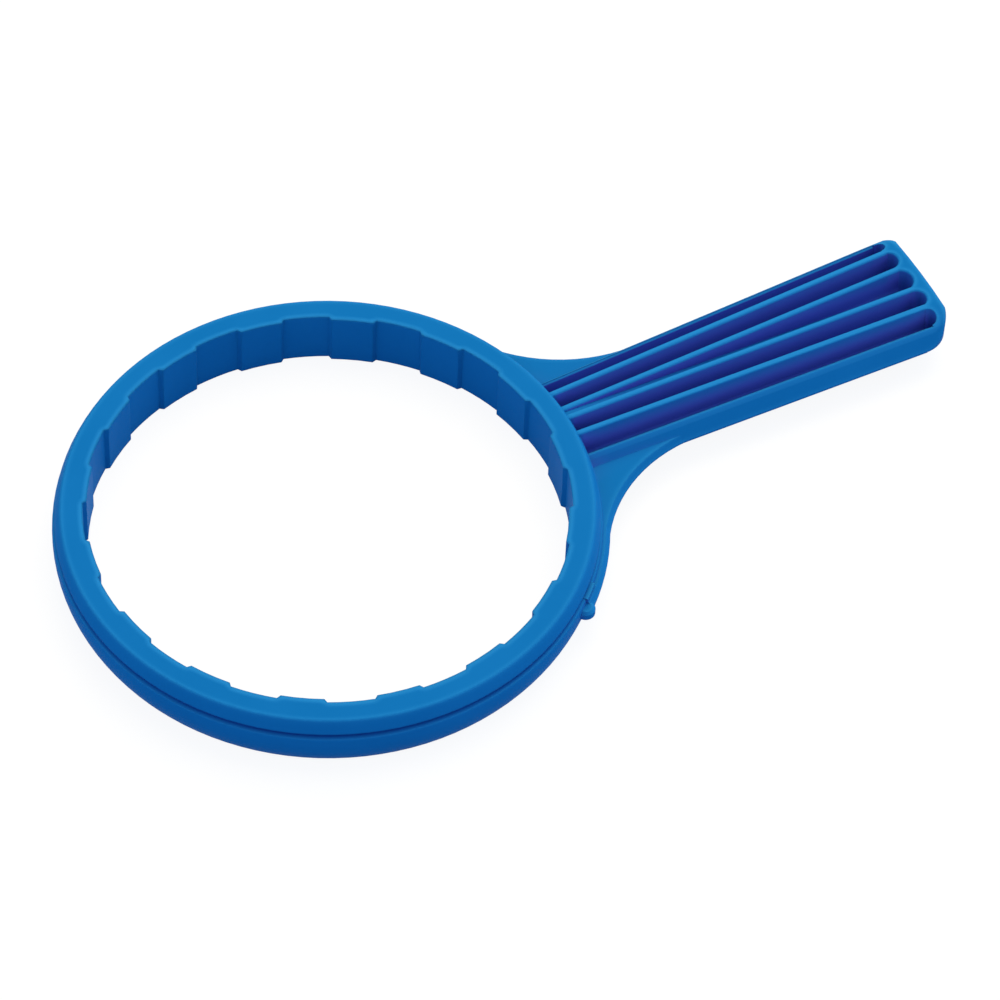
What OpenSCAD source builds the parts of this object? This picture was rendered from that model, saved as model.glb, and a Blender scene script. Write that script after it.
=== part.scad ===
// Ring wrench for the round bowl of a water filter housing.
// One moulded plastic piece: a lugged ring, two webs and a fluted handle.
// Millimetres, +Z up. Origin on the ring's axis at the resting face, handle along +X.

/* [Ring] */
// Height of the ring between its two flat faces
ring_height = 16.2; // [12:0.1:24]
// Diameter across the lug faces that grip the bowl
lug_bore = 125; // [100:0.5:180]
// How far each lug stands in from the recess beside it
lug_depth = 1; // [0.5:0.1:2]
// Number of lugs around the bore
lug_count = 16; // [8:1:24]
// Width of a lug at its gripping face
lug_width = 11.8; // [6:0.1:14]
// How much wider a lug is at its root, on each side
lug_flank = 0.6; // [0:0.1:1.5]
// Turn of the first lug from the handle's centre line, in degrees
lug_turn = 12.2; // [0:0.05:22.5]
// Wall thickness of the ring at its flat faces
ring_wall = 6.8; // [5:0.1:12]
// How far the outer wall bulges out at mid-height
ring_belly = 2.3; // [1:0.1:4]
// Rounding of the outer edges of both flat faces
ring_edge = 0.8; // [0.3:0.1:1.5]

/* [Groove] */
// Height of the middle of the groove round the outer wall
groove_level = 11.45; // [10:0.05:13]
// Width of the groove at its mouth
groove_mouth = 1.7; // [0.8:0.1:2.4]
// Depth of the groove
groove_depth = 1.5; // [0.5:0.1:2.5]
// Rounding of the groove's two lips
groove_lip = 0.3; // [0.1:0.05:0.5]

/* [Webs] */
// Height of the widest edge of the handle and webs above the resting face
parting_level = 7.7; // [6:0.1:9]
// Height of the flat land along that widest edge
parting_land = 0.5; // [0.2:0.1:1]
// Slope of the flanks above and below the widest edge, in degrees from upright
flank_slope = 36; // [25:0.5:40]
// Height of the webs' flat top above the resting face
web_height = 9.6; // [9:0.1:10.2]
// Radius of the curve from the handle into the ring
web_curve = 43; // [35:1:60]
// How far the web's tail stands out from the ring
tail_reach = 1.9; // [1.5:0.1:3]
// Angle from the handle at which each tail ends
tail_angle = 48.7; // [38:0.1:60]
// Radius of the rounded tab at the end of each tail
tab_radius = 2.6; // [2:0.1:4]
// How far the tab stands out past the tail
tab_reach = 0.9; // [0.5:0.1:2]
// Thickness of the tab
tab_thickness = 3.2; // [1.5:0.1:3.6]
// Angle from the end of the tail to the middle of the tab
tab_lead = 0.9; // [0.5:0.1:1.2]
// Length along the ring of the pad that fills the groove beside the tab, in degrees
pad_angle = 4.5; // [2:0.1:6]
// How far the pad stays back from the tail's widest edge
pad_inset = 1.5; // [1.4:0.1:2]

/* [Handle] */
// Length of the handle outside the ring
handle_length = 107.4; // [80:0.1:160]
// Width of the handle at its widest edge, where it leaves the ring
root_width = 33.7; // [30:0.1:40]
// Width of the handle at its widest edge, at the outer end
end_width = 39.7; // [36:0.1:50]
// Height of the handle's crown
crown_height = 15.6; // [14.5:0.1:16]
// Height of the crest along each side of the handle
edge_height = 12.4; // [11.5:0.1:13]
// Height of the handle's flat underside above the resting face
under_level = 0.6; // [0.2:0.1:2]
// Width of the flat part of the crown at the root
crown_flat = 12; // [6:0.1:16]
// Radius of the two corners at the outer end, seen from above
end_corner = 8.5; // [6:0.1:10]
// Radius of the bowed end, seen from above
end_bow = 200; // [150:5:600]
// Rounding of the end's top edge
end_edge = 1.2; // [0.5:0.1:1.5]

/* [Flutes] */
// Width of a rib's crest
rib_width = 1.8; // [1.2:0.1:2.1]
// Distance between the two centre ribs at the root
inner_gap_root = 3.2; // [2.2:0.1:4]
// Distance between the two centre ribs at the outer end
inner_gap_end = 8.2; // [6:0.1:10]
// Distance between the two outer ribs at the root
outer_gap_root = 14.8; // [13:0.1:17]
// Distance between the two outer ribs at the outer end
outer_gap_end = 21.8; // [19:0.1:24]
// Thickness of the top of the two side walls
wall_top = 0.9; // [0.7:0.1:1.6]
// Rounding of the top of the two side walls
wall_edge = 0.35; // [0.2:0.05:0.6]
// Height of the flutes' floor above the resting face
flute_floor = 7; // [5:0.1:10]
// Depth of the centre flute where it meets the ring
centre_depth = 0.9; // [0.4:0.1:3]
// Rounding at the foot of the centre flute's walls
centre_round = 3; // [1:0.1:4]
// Rounding at the foot of the other flutes' walls
flute_round = 2; // [1:0.1:3]
// Slope of the flutes' walls, in degrees
flute_draft = 5; // [0.5:0.5:6]
// Solid border between the flutes and the outer end
end_border = 3.2; // [2.2:0.1:6]
// Rounding of the rib crests
rib_edge = 0.75; // [0.3:0.05:0.8]

/* [Hidden] */
$fn = 96;
// Ring
lug_r = lug_bore / 2;
recess_r = lug_r + lug_depth;
face_r = lug_r + ring_wall;
belly_r = face_r + ring_belly;
mid_height = ring_height / 2;
barrel_r = (ring_belly * ring_belly + mid_height * mid_height) / (2 * ring_belly);
barrel_x = belly_r - barrel_r;
core_r = (recess_r + face_r) / 2;
// Rounded corner where the barrel meets a flat face
edge_x = barrel_x + sqrt(pow(barrel_r - ring_edge, 2) - pow(mid_height - ring_edge, 2));
edge_turn = atan2(mid_height - ring_edge, edge_x - barrel_x);
// Groove
groove_top = groove_level + groove_mouth / 2;
groove_low = groove_level - groove_mouth / 2;
groove_floor_x = barrel_at(groove_level) - groove_depth;
groove_floor_half = groove_mouth / 6;
lip_drop = groove_lip / 3;
lip_turn = 1.5;
lip_top_turn = asin((groove_top - mid_height) / barrel_r) + lip_turn;
lip_low_turn = asin((groove_low - mid_height) / barrel_r) - lip_turn;
// Handle
end_x = belly_r + handle_length;
taper = atan((end_width - root_width) / 2 / handle_length);
flank = tan(flank_slope);
land_top = parting_level + parting_land / 2;
land_low = parting_level - parting_land / 2;
waist_half = root_width / 2;
edge_half = waist_half - (edge_height - land_top) * flank;
edge_half_end = edge_half + (end_width - root_width) / 2;
crown_half = crown_flat / 2;
shoulder_drop = crown_height - edge_height;
shoulder_run = edge_half - crown_half;
shoulder_r = (pow(shoulder_run, 2) + pow(shoulder_drop, 2)) / (2 * shoulder_drop);
handle_start = core_r;
// Webs
web_low = 2 * parting_level - web_height;
web_land_top = parting_level + parting_land / 4;
web_land_low = parting_level - parting_land / 4;
tail_r = belly_r + tail_reach;
blend = 0.15;
curve_line = (waist_half + web_curve - blend) / cos(taper) - belly_r * tan(taper);
curve_a = 1 + pow(tan(taper), 2);
curve_b = 2 * curve_line * tan(taper);
curve_c = pow(curve_line, 2) - pow(tail_r + web_curve - blend, 2);
curve_x = (-curve_b + sqrt(curve_b * curve_b - 4 * curve_a * curve_c)) / (2 * curve_a);
curve_y = curve_line + curve_x * tan(taper);
curve_angle = atan2(curve_y, curve_x);
// Outer end
corner_blend = 0.05;
corner_x = end_x - bow_drop(end_width / 2 - end_corner) - end_corner;
corner_y = waist_half / cos(taper) + (corner_x - belly_r) * tan(taper) - end_corner / cos(taper);
// Flutes
flute_start = core_r + 1;
flute_end = end_x - end_border;
floor_sink = 0.3;
centre_rise = atan((crown_height - centre_depth - flute_floor) / handle_length);
bowl_ease = 1.06;
bowl_edge = 0.85 * rib_edge;
bowl_round = 0.7;
crest_margin = 10;
crown_margin = 4;
crown_rise = 0.12;
over = 1;

// Outer radius of the ring at a height
function barrel_at(z) = barrel_x + sqrt(barrel_r * barrel_r - pow(z - mid_height, 2));
// How far the bowed end falls back at a distance from the centre line
function bow_drop(y) = end_bow - sqrt(end_bow * end_bow - y * y);
// Height of the crown at a distance from the centre line of the root
function shoulder_at(y) =
    crown_height - shoulder_r + sqrt(shoulder_r * shoulder_r - pow(max(0, y - crown_half), 2));
// Points along an arc between two angles
function arc(x, y, r, from, to, steps) =
    [for (i = [0:steps]) let (t = from + (to - from) * i / steps) [x + r * cos(t), y + r * sin(t)]];

// Cross-section of the ring's wall, from the bore to the barrel-shaped outside
module ring_section() {
    polygon(concat(
        [[lug_r, 0]],
        arc(edge_x, ring_edge, ring_edge, -90, -edge_turn, 5),
        arc(barrel_x, mid_height, barrel_r, -edge_turn, lip_low_turn, 14),
        [[barrel_at(groove_low) - lip_drop, groove_low]],
        [[groove_floor_x, groove_level - groove_floor_half]],
        [[groove_floor_x, groove_level + groove_floor_half]],
        [[barrel_at(groove_top) - lip_drop, groove_top]],
        arc(barrel_x, mid_height, barrel_r, lip_top_turn, edge_turn, 6),
        arc(edge_x, ring_height - ring_edge, ring_edge, edge_turn, 90, 5),
        [[lug_r, ring_height]]
    ));
}

// One recess between two lugs, wider at the bore than at its floor
module recess() {
    pitch = 360 / lug_count;
    floor_half = recess_r * sin(pitch / 2) - lug_width / 2 - lug_flank;
    slope = lug_flank / lug_depth;
    intersection() {
        circle(r = recess_r, $fn = 360);
        polygon([
            [recess_r + over, floor_half - slope * over],
            [recess_r + over, -floor_half + slope * over],
            [lug_r - over, -floor_half - slope * (lug_depth + over)],
            [lug_r - over, floor_half + slope * (lug_depth + over)]
        ]);
    }
}

// The ring with its lugs
module ring() {
    difference() {
        rotate_extrude($fn = 360)
            ring_section();
        for (i = [0:lug_count - 1])
            rotate([0, 0, lug_turn + (i + 0.5) * 360 / lug_count])
                translate([0, 0, -over])
                    linear_extrude(ring_height + 2 * over)
                        recess();
    }
}

// Cross-section of the waste outside one side of the handle: two sloped flanks and the crowned shoulder
module side_waste() {
    outside = 2 * waist_half;
    edge_turn_up = atan2(edge_height - crown_height + shoulder_r, shoulder_run);
    polygon(concat(
        [[waist_half - (land_low - under_level + over) * flank, under_level - over]],
        [[waist_half, land_low]],
        [[waist_half, land_top]],
        arc(crown_half, crown_height - shoulder_r, shoulder_r, edge_turn_up, 90 - crown_margin, 9),
        [[crown_half - over, crown_height + crown_rise]],
        [[crown_half - over, crown_height + over]],
        [[outside, crown_height + over]],
        [[outside, under_level - over]]
    ));
}

// Waste outside one side of the handle, along its tapered edge
module side_cutter() {
    translate([belly_r, 0, 0])
        rotate([0, 0, taper])
            rotate([90, 0, 90])
                translate([0, 0, -belly_r])
                    linear_extrude(2 * belly_r + handle_length)
                        side_waste();
}

// Waste outside one rounded corner of the outer end
module corner_cutter() {
    reach = 4 * end_corner;
    round = end_corner + corner_blend;
    low = under_level - 2 * over;
    difference() {
        translate([corner_x, corner_y, under_level - over])
            linear_extrude(crown_height + over)
                polygon([
                    [0, 0],
                    [reach, 0],
                    [reach, reach],
                    [-reach * sin(taper), reach * cos(taper)]
                ]);
        translate([corner_x, corner_y, 0])
            rotate_extrude()
                polygon([
                    [0, low],
                    [max(over / 4, round - (parting_level - low) * flank), low],
                    [round, parting_level],
                    [round, crown_height + 2 * over],
                    [0, crown_height + 2 * over]
                ]);
    }
}

// Body that gives the outer end its bow, its sloped lower half and its rounded top edge
module end_form() {
    translate([end_x - end_bow, 0, 0])
        rotate_extrude($fn = 360)
            polygon(concat(
                [[0, under_level - over]],
                [[end_bow - (land_low - under_level + over) * flank, under_level - over]],
                [[end_bow, land_low]],
                arc(end_bow - end_edge, crown_height - end_edge, end_edge, 0, 90, 5),
                [[0, crown_height]]
            ));
}

// Section of a flute's wall beside a rib: rounded crest, sloped wall and rounded foot
function wall_points(rib, floor, round, reach) =
    let (crest = rib[3], edge = rib[4], inset = rib[2] - edge)
    let (foot = min(floor - floor_sink + round, crest - edge))
    let (slant = (crest - edge - foot) * tan(flute_draft))
    concat(
        [[inset - edge / 2, crest + edge / 2]],
        arc(inset, crest - edge, edge, 90 - crest_margin, 0, 5),
        arc(rib[2] + slant + round, foot, round, 180, 270, 6),
        [[reach, foot - round]],
        [[reach, crest + ring_height]],
        [[inset - edge / 2, crest + ring_height]]
    );

// Space on one side of a rib, along the rib's own line
module beside(rib, side, floor, round) {
    translate([belly_r, rib[0], 0])
        rotate([0, 0, atan((rib[1] - rib[0]) / handle_length)])
            rotate([90, 0, 90])
                translate([0, 0, flute_start - belly_r])
                    linear_extrude(handle_length + belly_r)
                        mirror([side < 0 ? 1 : 0, 0])
                            polygon(wall_points(rib, floor, round, root_width));
}

// One flute between two ribs, closed by a round end.
// A rib is [offset at the root, offset at the outer end, half width, crest height, crest rounding].
// The rise is the slope of the floor up towards the ring, in degrees.
module flute(low, high, floor, round, end_crest, rise) {
    gap = (high[1] - high[2] - low[1] - low[2]) / 2;
    middle = (high[1] - high[2] + low[1] + low[2]) / 2;
    bowl = gap * bowl_ease;
    bowl_x = flute_end - bow_drop(middle) - bowl;
    bowl_rib = [0, 0, low[2], end_crest, bowl_edge];
    foot_round = min(round, bowl * bowl_round);
    intersection() {
        beside(low, 1, floor, round);
        beside(high, -1, floor, round);
        union() {
            translate([0, -end_width, floor - ring_height])
                cube([bowl_x, 2 * end_width, 4 * ring_height]);
            translate([bowl_x, middle, 0])
                rotate_extrude()
                    polygon([for (p = wall_points(bowl_rib, floor, foot_round, bowl + low[2]))
                        [max(0, bowl + low[2] - p[0]), p[1]]]);
        }
        translate([end_x, -end_width, floor])
            rotate([0, rise, 0])
                translate([-2 * end_x, 0, 0])
                    cube([3 * end_x, 2 * end_width, 2 * ring_height]);
    }
}

// The handle before its flutes are cut
module handle_blank() {
    blank_half = waist_half + handle_length * tan(taper) + over;
    difference() {
        intersection() {
            translate([handle_start, -blank_half, under_level])
                cube([handle_length + belly_r, 2 * blank_half, crown_height]);
            end_form();
        }
        for (side = [0, 1])
            mirror([0, side, 0]) {
                side_cutter();
                corner_cutter();
            }
    }
}

// The five flutes: one on the centre line that fades out towards the ring, and two on each side of it
module flutes() {
    inner_rib = [inner_gap_root / 2, inner_gap_end / 2, rib_width / 2, crown_height, rib_edge];
    inner_twin = [-inner_gap_root / 2, -inner_gap_end / 2, rib_width / 2, crown_height, rib_edge];
    outer_crest = shoulder_at(outer_gap_root / 2);
    outer_rib = [outer_gap_root / 2, outer_gap_end / 2, rib_width / 2, outer_crest, rib_edge];
    side_wall = [edge_half, edge_half_end, wall_top, edge_height, wall_edge];
    flute(inner_twin, inner_rib, flute_floor, centre_round, crown_height, centre_rise);
    for (side = [0, 1])
        mirror([0, side, 0]) {
            flute(inner_rib, outer_rib, flute_floor, flute_round, crown_height, 0);
            flute(outer_rib, side_wall, flute_floor, flute_round, crown_height, 0);
        }
}

// One web: the curved plate beside the handle, with the same sloped flanks
module gusset() {
    difference() {
        translate([0, 0, web_low])
            linear_extrude(web_height - web_low)
                polygon([
                    [core_r, 0],
                    [curve_x, 0],
                    [curve_x, curve_y],
                    [core_r * cos(curve_angle), core_r * sin(curve_angle)]
                ]);
        translate([curve_x, curve_y, 0])
            rotate_extrude($fn = 360)
                polygon([
                    [0, web_low - over],
                    [web_curve + (web_land_low - web_low + over) * flank, web_low - over],
                    [web_curve, web_land_low],
                    [web_curve, web_land_top],
                    [web_curve + (web_height - web_land_top + over) * flank, web_height + over],
                    [0, web_height + over]
                ]);
    }
}

// Sector of the plan between two angles from the handle
module sector(from, to) {
    reach = 1.5 * tail_r;
    linear_extrude(ring_height)
        polygon([
            [0, 0],
            [reach * cos(from), reach * sin(from)],
            [reach * cos((from + to) / 2), reach * sin((from + to) / 2)],
            [reach * cos(to), reach * sin(to)]
        ]);
}

// Tail of a web: a strip along the ring that ends in a pad and a rounded tab
module tail() {
    tab_x = tail_r + tab_reach - tab_radius;
    tab_fade = tab_thickness / 4;
    pad_r = tail_r - pad_inset;
    intersection() {
        rotate_extrude($fn = 360)
            polygon([
                [core_r, web_low],
                [tail_r - (land_low - web_low) * flank, web_low],
                [tail_r, land_low],
                [tail_r, land_top],
                [tail_r - (web_height - land_top) * flank, web_height],
                [core_r, web_height]
            ]);
        sector(curve_angle / 2, tail_angle);
    }
    intersection() {
        rotate_extrude($fn = 360)
            polygon([
                [core_r, web_height - over],
                [pad_r, web_height - over],
                [pad_r, groove_low + groove_lip],
                [core_r, groove_low + groove_lip]
            ]);
        sector(tail_angle - pad_angle, tail_angle);
    }
    rotate([0, 0, tail_angle + tab_lead])
        translate([tab_x, 0, parting_level - tab_thickness / 2]) {
            cylinder(h = tab_fade, r1 = tab_radius - tab_fade, r2 = tab_radius);
            translate([0, 0, tab_fade])
                cylinder(h = tab_thickness - 2 * tab_fade, r = tab_radius);
            translate([0, 0, tab_thickness - tab_fade])
                cylinder(h = tab_fade, r1 = tab_radius, r2 = tab_radius - tab_fade);
        }
}

// The handle with its webs and flutes
module handle() {
    difference() {
        union() {
            handle_blank();
            for (side = [0, 1])
                mirror([0, side, 0]) {
                    gusset();
                    tail();
                }
        }
        flutes();
    }
}

// The whole moulded wrench
module wrench_body() {
    color([0.08, 0.42, 0.72])
        union() {
            ring();
            handle();
        }
}

wrench_body();
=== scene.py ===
from math import radians

import bpy
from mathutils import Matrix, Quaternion, Vector


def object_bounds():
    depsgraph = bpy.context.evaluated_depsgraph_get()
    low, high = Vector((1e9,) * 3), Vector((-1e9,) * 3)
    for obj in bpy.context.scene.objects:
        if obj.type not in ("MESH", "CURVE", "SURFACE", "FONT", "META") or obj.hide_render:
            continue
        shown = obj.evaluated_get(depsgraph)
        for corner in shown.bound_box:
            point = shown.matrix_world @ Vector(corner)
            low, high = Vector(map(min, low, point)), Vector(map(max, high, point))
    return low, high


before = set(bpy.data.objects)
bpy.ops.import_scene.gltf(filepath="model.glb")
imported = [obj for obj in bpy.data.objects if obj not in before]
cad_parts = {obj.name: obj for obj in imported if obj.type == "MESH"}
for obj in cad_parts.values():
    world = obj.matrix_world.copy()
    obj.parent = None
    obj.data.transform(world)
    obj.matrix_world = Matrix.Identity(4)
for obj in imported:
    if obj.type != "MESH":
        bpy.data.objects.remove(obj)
cad_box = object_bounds()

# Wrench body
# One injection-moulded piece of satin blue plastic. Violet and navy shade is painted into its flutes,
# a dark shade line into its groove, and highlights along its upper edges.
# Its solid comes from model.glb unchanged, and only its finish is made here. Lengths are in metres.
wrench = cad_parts["wrench_body"]
handle_end = cad_box[1][0]
ring_outer = cad_box[1][1]
ring_top = cad_box[1][2]
wall_middle = ring_outer - 0.00585

plastic = bpy.data.materials.new("blue_plastic")
plastic.use_nodes = True
nodes, links = plastic.node_tree.nodes, plastic.node_tree.links
surface = nodes["Principled BSDF"]

# Height above the bench, distance from the ring's axis and distance to either side of the handle's middle
place = nodes.new("ShaderNodeTexCoord").outputs["Object"]
spot = nodes.new("ShaderNodeSeparateXYZ")
links.new(place, spot.inputs["Vector"])
height = spot.outputs["Z"]

level = nodes.new("ShaderNodeVectorMath")
level.operation = "MULTIPLY"
level.inputs[1].default_value = (1.0, 1.0, 0.0)
links.new(place, level.inputs[0])
reach = nodes.new("ShaderNodeVectorMath")
reach.operation = "LENGTH"
links.new(level.outputs["Vector"], reach.inputs[0])
radius = reach.outputs["Value"]

sideways = nodes.new("ShaderNodeMath")
sideways.operation = "ABSOLUTE"
links.new(spot.outputs["Y"], sideways.inputs[0])
aside = sideways.outputs["Value"]


def spread(value, low, high, at_low, at_high):
    """A value that runs from one end to the other between two limits, and is held beyond them."""
    ramp = nodes.new("ShaderNodeMapRange")
    ramp.inputs["From Min"].default_value = low
    ramp.inputs["From Max"].default_value = high
    ramp.inputs["To Min"].default_value = at_low
    ramp.inputs["To Max"].default_value = at_high
    links.new(value, ramp.inputs["Value"])
    return ramp.outputs["Result"]


def past(value, limit, fade):
    """A mask that comes in about a limit, over the length of a fade."""
    return spread(value, limit - fade / 2, limit + fade / 2, 0.0, 1.0)


def within(value, limit, fade):
    """A mask that goes out about a limit, over the length of a fade."""
    return spread(value, limit - fade / 2, limit + fade / 2, 1.0, 0.0)


def between(mask, off, on):
    """A value that runs from one number to another as a mask comes in."""
    return spread(mask, 0.0, 1.0, off, on)


def both(first, second):
    """A mask that holds where two masks do."""
    product = nodes.new("ShaderNodeMath")
    product.operation = "MULTIPLY"
    links.new(first, product.inputs[0])
    links.new(second, product.inputs[1])
    return product.outputs["Value"]


# Softly rounded edges, broader along the ring's inner top edge
edge_round = 0.0005
brim_round = 0.0016
brim_foot = ring_top - 0.0027
brim = both(past(height, brim_foot, fade=0.002), within(radius, wall_middle, fade=0.0005))
edges = nodes.new("ShaderNodeBevel")
edges.samples = 4
links.new(between(brim, off=edge_round, on=brim_round), edges.inputs["Radius"])
rounded = edges.outputs["Normal"]

# Which way the rounded surface faces
facing = nodes.new("ShaderNodeSeparateXYZ")
links.new(rounded, facing.inputs["Vector"])
upward = past(facing.outputs["Z"], 0.55, fade=0.5)
lit_side = past(facing.outputs["Y"], 0.05, fade=0.7)
ringward = within(facing.outputs["X"], -0.55, fade=0.6)


def blend(value, low, low_colour, high, high_colour):
    """A colour that runs between two colours as a value goes from one limit to the other."""
    ramp = nodes.new("ShaderNodeValToRGB")
    for stop, position, colour in zip(ramp.color_ramp.elements, (low, high), (low_colour, high_colour)):
        stop.position = position
        stop.color = (*colour, 1.0)
    links.new(value, ramp.inputs["Fac"])
    return ramp.outputs["Color"]


# Faint clouds in the pigment
deep_blue = (0.0058, 0.165, 0.448)
clear_blue = (0.0074, 0.177, 0.472)
mottle = nodes.new("ShaderNodeTexNoise")
mottle.inputs["Scale"].default_value = 45.0
mottle.inputs["Detail"].default_value = 3.0
links.new(place, mottle.inputs["Vector"])
clouds = mottle.outputs["Fac"]
pigment = blend(clouds, 0.3, deep_blue, 0.7, clear_blue)


def coated(under, mask):
    """A mix that shows its second colour over the one given, where a mask holds."""
    mix = nodes.new("ShaderNodeMix")
    mix.data_type = "RGBA"
    links.new(mask, mix.inputs["Factor"])
    links.new(under, mix.inputs["A"])
    return mix


# Painted shade: a violet cast in hollows, darker at their floors. It is full on the flutes' steep walls
# that turn away from the soft box, a third or less on walls that face it or lie beside the handle, and
# none on the ring.
hollow_reach = 0.007
flute_floor_shade_blue = (0.045, 0.088, 0.340)
flute_wall_shade_violet = (0.145, 0.140, 0.690)
handle_half = 0.020
hollow = nodes.new("ShaderNodeAmbientOcclusion")
hollow.samples = 4
hollow.only_local = True
hollow.inputs["Distance"].default_value = hollow_reach
openness = hollow.outputs["AO"]
sunken = both(within(openness, 0.6, fade=0.5), between(upward, off=1.0, on=0.15))
on_handle = within(aside, handle_half, fade=0.001)
turned = both(between(on_handle, off=0.35, on=1.0), between(lit_side, off=1.0, on=0.3))
off_ring = past(radius, ring_outer - 0.0008, fade=0.0016)
painted_hollow_shade = coated(pigment, both(sunken, both(turned, off_ring)))
links.new(blend(openness, 0.12, flute_floor_shade_blue, 0.32, flute_wall_shade_violet), painted_hollow_shade.inputs["B"])

# Painted shade: navy at the flutes' rounded ends, which face the ring and are turned from the light
flute_end_shade_navy = (0.022, 0.060, 0.290)
near_end = past(radius, handle_end - 0.010, fade=0.002)
end_wall = both(ringward, both(on_handle, near_end))
shaded = coated(painted_hollow_shade.outputs["Result"], both(sunken, end_wall))
shaded.inputs["B"].default_value = (*flute_end_shade_navy, 1.0)

# Painted shade: a dark line in the groove that runs round the ring's outer wall
groove_shade_navy = (0.010, 0.064, 0.330)
groove_level = 0.01145
groove_half = 0.0012
at_groove = nodes.new("ShaderNodeMath")
at_groove.operation = "COMPARE"
at_groove.inputs[1].default_value = groove_level
at_groove.inputs[2].default_value = groove_half
links.new(height, at_groove.inputs[0])
in_wall = both(past(radius, wall_middle, fade=0.0005), within(radius, ring_outer - 0.001, fade=0.0012))
groove_shaded = coated(shaded.outputs["Result"], both(at_groove.outputs["Value"], in_wall))
groove_shaded.inputs["B"].default_value = (*groove_shade_navy, 1.0)

# Painted highlight: paler crests along the upper edges, where the rounded plastic catches the light
crest_highlight_blue = (0.021, 0.250, 0.580)
crest_width = 0.0018
thin = nodes.new("ShaderNodeAmbientOcclusion")
thin.samples = 4
thin.inside = True
thin.only_local = True
thin.inputs["Distance"].default_value = crest_width
crest = within(thin.outputs["AO"], 0.82, fade=0.28)
painted_crest_highlight = coated(groove_shaded.outputs["Result"], both(crest, upward))
painted_crest_highlight.inputs["B"].default_value = (*crest_highlight_blue, 1.0)
links.new(painted_crest_highlight.outputs["Result"], surface.inputs["Base Color"])

# Satin skin with a fine grain from the mould
skin = nodes.new("ShaderNodeTexNoise")
skin.inputs["Scale"].default_value = 2600.0
skin.inputs["Detail"].default_value = 2.0
links.new(place, skin.inputs["Vector"])
grain = nodes.new("ShaderNodeBump")
grain.inputs["Strength"].default_value = 0.10
grain.inputs["Distance"].default_value = 0.0001
links.new(skin.outputs["Fac"], grain.inputs["Height"])
links.new(rounded, grain.inputs["Normal"])
links.new(grain.outputs["Normal"], surface.inputs["Normal"])
links.new(between(clouds, off=0.42, on=0.50), surface.inputs["Roughness"])
surface.inputs["Specular IOR Level"].default_value = 0.006
surface.inputs["Specular Tint"].default_value = (0.05, 0.5, 1.0, 1.0)

wrench.data.materials.clear()
wrench.data.materials.append(plastic)

# Floor
# A plain white sheet of paper, laid just clear of the wrench, that keeps a faint shadow of it.
# The camera and reflections see it white, and it throws less light back up than it shows.
floor_half = 6.0
floor_gap = 0.0002
floor_corners = ((-1, -1), (1, -1), (1, 1), (-1, 1))
floor_mesh = bpy.data.meshes.new("floor")
floor_mesh.from_pydata([(x * floor_half, y * floor_half, 0) for x, y in floor_corners], [], [(0, 1, 2, 3)])
floor = bpy.data.objects.new("floor", floor_mesh)
bpy.context.scene.collection.objects.link(floor)
floor.location.z = -floor_gap

paper = bpy.data.materials.new("white_paper")
paper.use_nodes = True
paper_nodes, paper_links = paper.node_tree.nodes, paper.node_tree.links
paper_surface = paper_nodes["Principled BSDF"]
paper_surface.inputs["Roughness"].default_value = 0.9
paper_surface.inputs["Specular IOR Level"].default_value = 0.0

rays = paper_nodes.new("ShaderNodeLightPath")
mirrored = paper_nodes.new("ShaderNodeMath")
mirrored.operation = "MAXIMUM"
paper_links.new(rays.outputs["Is Glossy Ray"], mirrored.inputs[0])
paper_links.new(rays.outputs["Is Transmission Ray"], mirrored.inputs[1])
seen = paper_nodes.new("ShaderNodeMath")
seen.operation = "MAXIMUM"
paper_links.new(rays.outputs["Is Camera Ray"], seen.inputs[0])
paper_links.new(mirrored.outputs["Value"], seen.inputs[1])

shade = paper_nodes.new("ShaderNodeMix")
shade.data_type = "RGBA"
shade.inputs["A"].default_value = (0.38, 0.42, 0.58, 1.0)
shade.inputs["B"].default_value = (0.12, 0.12, 0.12, 1.0)
paper_links.new(seen.outputs["Value"], shade.inputs["Factor"])
paper_links.new(shade.outputs["Result"], paper_surface.inputs["Base Color"])

paper_glow = 0.91
white = paper_nodes.new("ShaderNodeMath")
white.operation = "MULTIPLY"
white.inputs[1].default_value = paper_glow
paper_links.new(seen.outputs["Value"], white.inputs[0])
paper_surface.inputs["Emission Color"].default_value = (1.0, 1.0, 1.0, 1.0)
paper_links.new(white.outputs["Value"], paper_surface.inputs["Emission Strength"])

floor_mesh.materials.append(paper)

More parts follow.
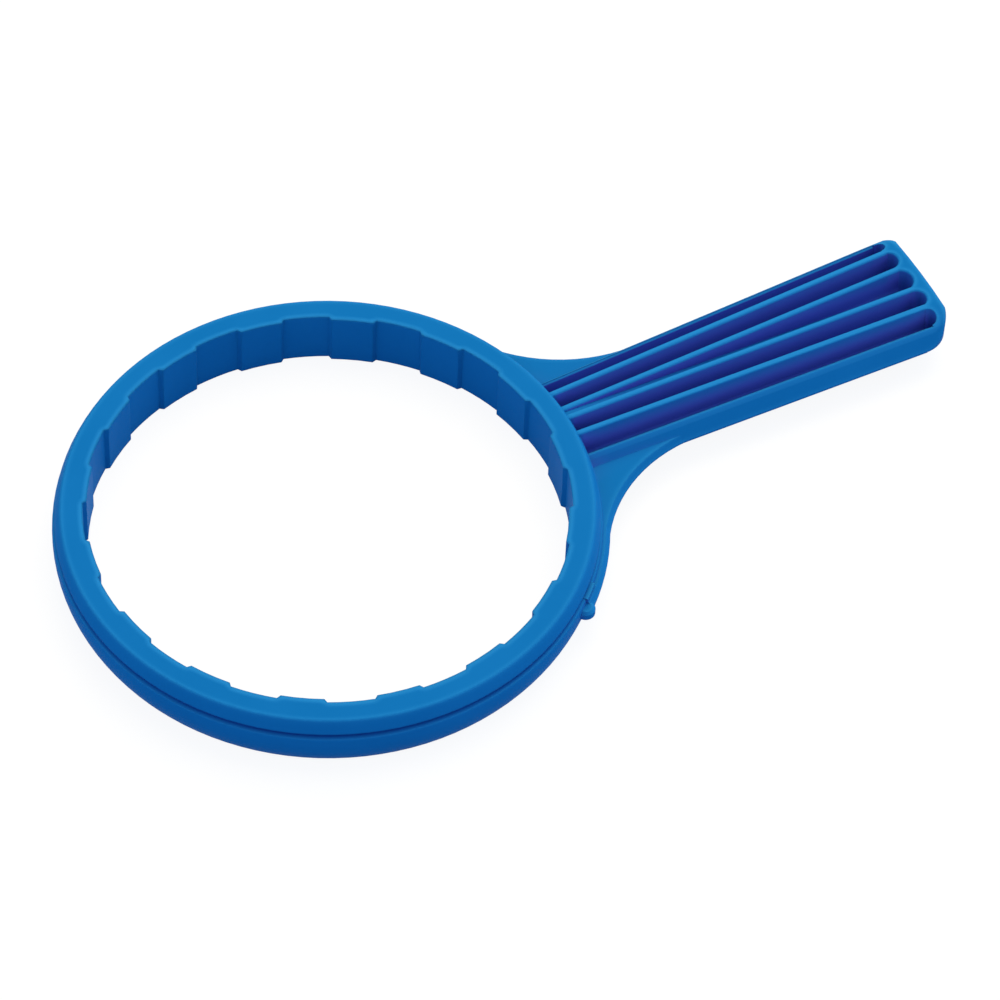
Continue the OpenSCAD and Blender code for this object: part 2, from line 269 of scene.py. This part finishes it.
# Light
# A cool white room, brighter at its two ends and most at the handle's.
# One large, warmer soft box hangs overhead, and together they light level faces nearly white.
room_base = 0.40
room_ends = 0.9
room_handle_end = 0.22
world = bpy.data.worlds.new("studio")
world.use_nodes = True
room_nodes, room_links = world.node_tree.nodes, world.node_tree.links
room = room_nodes["Background"]
room.inputs["Color"].default_value = (0.71, 0.95, 1.31, 1.0)
around = room_nodes.new("ShaderNodeTexCoord")
toward = room_nodes.new("ShaderNodeSeparateXYZ")
room_links.new(around.outputs["Generated"], toward.inputs["Vector"])
ends = room_nodes.new("ShaderNodeMath")
ends.operation = "MULTIPLY"
room_links.new(toward.outputs["X"], ends.inputs[0])
room_links.new(toward.outputs["X"], ends.inputs[1])
brightness = room_nodes.new("ShaderNodeMath")
brightness.operation = "MULTIPLY_ADD"
brightness.inputs[1].default_value = room_ends
brightness.inputs[2].default_value = room_base
room_links.new(ends.outputs["Value"], brightness.inputs[0])
lean = room_nodes.new("ShaderNodeMath")
lean.operation = "MULTIPLY_ADD"
lean.inputs[1].default_value = room_handle_end
room_links.new(toward.outputs["X"], lean.inputs[0])
room_links.new(brightness.outputs["Value"], lean.inputs[2])
room_links.new(lean.outputs["Value"], room.inputs["Strength"])
bpy.context.scene.world = world

softbox_data = bpy.data.lights.new("softbox", "AREA")
softbox_data.shape = "SQUARE"
softbox_data.size = 1.6
softbox_data.energy = 27.0
softbox_data.color = (1.0, 0.80, 0.43)
softbox = bpy.data.objects.new("softbox", softbox_data)
bpy.context.scene.collection.objects.link(softbox)
softbox.location = (0.6, 0.7, 1.5)
softbox_aim = Vector((0.05, 0, 0))
softbox.rotation_euler = (softbox_aim - softbox.location).to_track_quat("-Z", "Y").to_euler()

# Camera
# A long lens looking down past the ring towards the handle, as in the photograph.
# It is turned a little about its own line of sight.
eye = Vector((-0.4025, -0.7847, 1.1322))
sight = Vector((0.31102, 0.53784, -0.7836))
roll = radians(2.66)
camera_data = bpy.data.cameras.new("camera")
camera_data.sensor_width = 36.0
camera_data.lens = 197.7
camera = bpy.data.objects.new("camera", camera_data)
bpy.context.scene.collection.objects.link(camera)
camera.location = eye
camera.rotation_mode = "QUATERNION"
camera.rotation_quaternion = sight.to_track_quat("-Z", "Y") @ Quaternion((0, 0, 1), roll)
bpy.context.scene.camera = camera
bpy.context.scene.view_settings.view_transform = "Standard"
